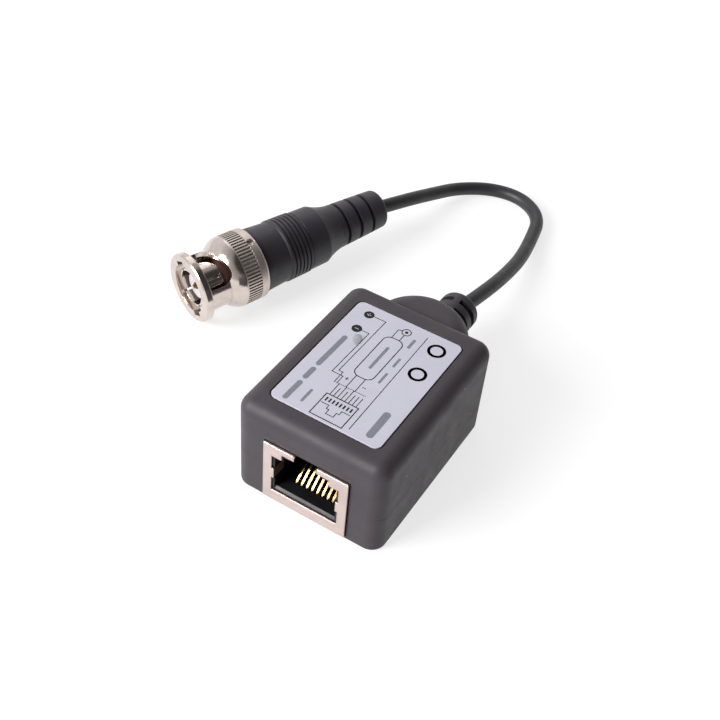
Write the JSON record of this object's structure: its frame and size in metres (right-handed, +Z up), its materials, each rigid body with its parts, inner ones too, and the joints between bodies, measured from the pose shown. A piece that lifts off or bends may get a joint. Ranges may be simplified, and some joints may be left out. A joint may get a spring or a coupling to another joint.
{
  "type": "video balun",
  "caption": "Passive video balun for security cameras: shielded modular jack in a moulded box, transformer inside, and a short coax pigtail ending in a bayonet plug.",
  "frame": {"origin": "the centre of the box's bottom face, on the surface that it stands on", "axes": "+Y runs from the jack's face towards the cable, +X is to the right of someone who faces the jack, +Z is up"},
  "size_m": [0.0663, 0.104, 0.0198],
  "materials": {
    "shell_plastic": "fine satin",
    "label_film": "matte",
    "shield_metal": "bright tin plate",
    "black_plastic": "matte",
    "board_laminate": "satin",
    "ferrite": "matte",
    "copper_wire": "enamelled",
    "solder": "bright",
    "tinned_braid": "satin",
    "soft_pvc": "soft satin",
    "cable_jacket": "soft sheen",
    "plated_brass": "bright nickel plate",
    "spring_steel": "satin",
    "white_insulator": "matte",
    "gold_contact": "gold flash",
    "gasket_rubber": "matte"
  },
  "bodies": {
    "balun": {"housing_upper": "shell_plastic", "housing_lower": "shell_plastic", "label_plate": "label_film", "jack_shield": "shield_metal", "jack_insulator": "black_plastic", "circuit_board": "board_laminate", "balun_core": "ferrite", "winding_line_side": "copper_wire", "winding_coax_side": "copper_wire", "balun_leads": "copper_wire", "solder_joints": "solder", "strain_relief": "soft_pvc", "coax_inner_end": "cable_jacket", "braid_tail": "tinned_braid", "cable": "cable_jacket", "wave_spring": "spring_steel", "plug_body": "plated_brass", "outer_contact": "plated_brass", "plug_insulator": "white_insulator", "centre_pin": "gold_contact", "front_gasket": "gasket_rubber", "crimp_ferrule": "plated_brass", "coax_plug_end": "cable_jacket", "plug_boot": "soft_pvc", "contact_1": "gold_contact", "contact_2": "gold_contact", "contact_3": "gold_contact", "contact_4": "gold_contact", "contact_5": "gold_contact", "contact_6": "gold_contact", "contact_7": "gold_contact", "contact_8": "gold_contact"},
    "washer": {"thrust_washer": "plated_brass"},
    "coupling": {"coupling_sleeve": "plated_brass", "retaining_ring": "spring_steel"}
  },
  "joints": [
    {"name": "coupling_travel", "type": "slide", "parent": "balun", "child": "washer", "axis": [-0.3582, -0.9332, -0.0296], "range_m": [0, 0.0008], "stiffness_N_per_m": 8000, "deforming": ["wave_spring"]},
    {"name": "coupling_turn", "type": "hinge", "parent": "washer", "child": "coupling", "pos_m": [-0.04217, 0.01918, 0.00729], "axis": [0.3582, 0.9332, 0.0296], "continuous": true}
  ]
}
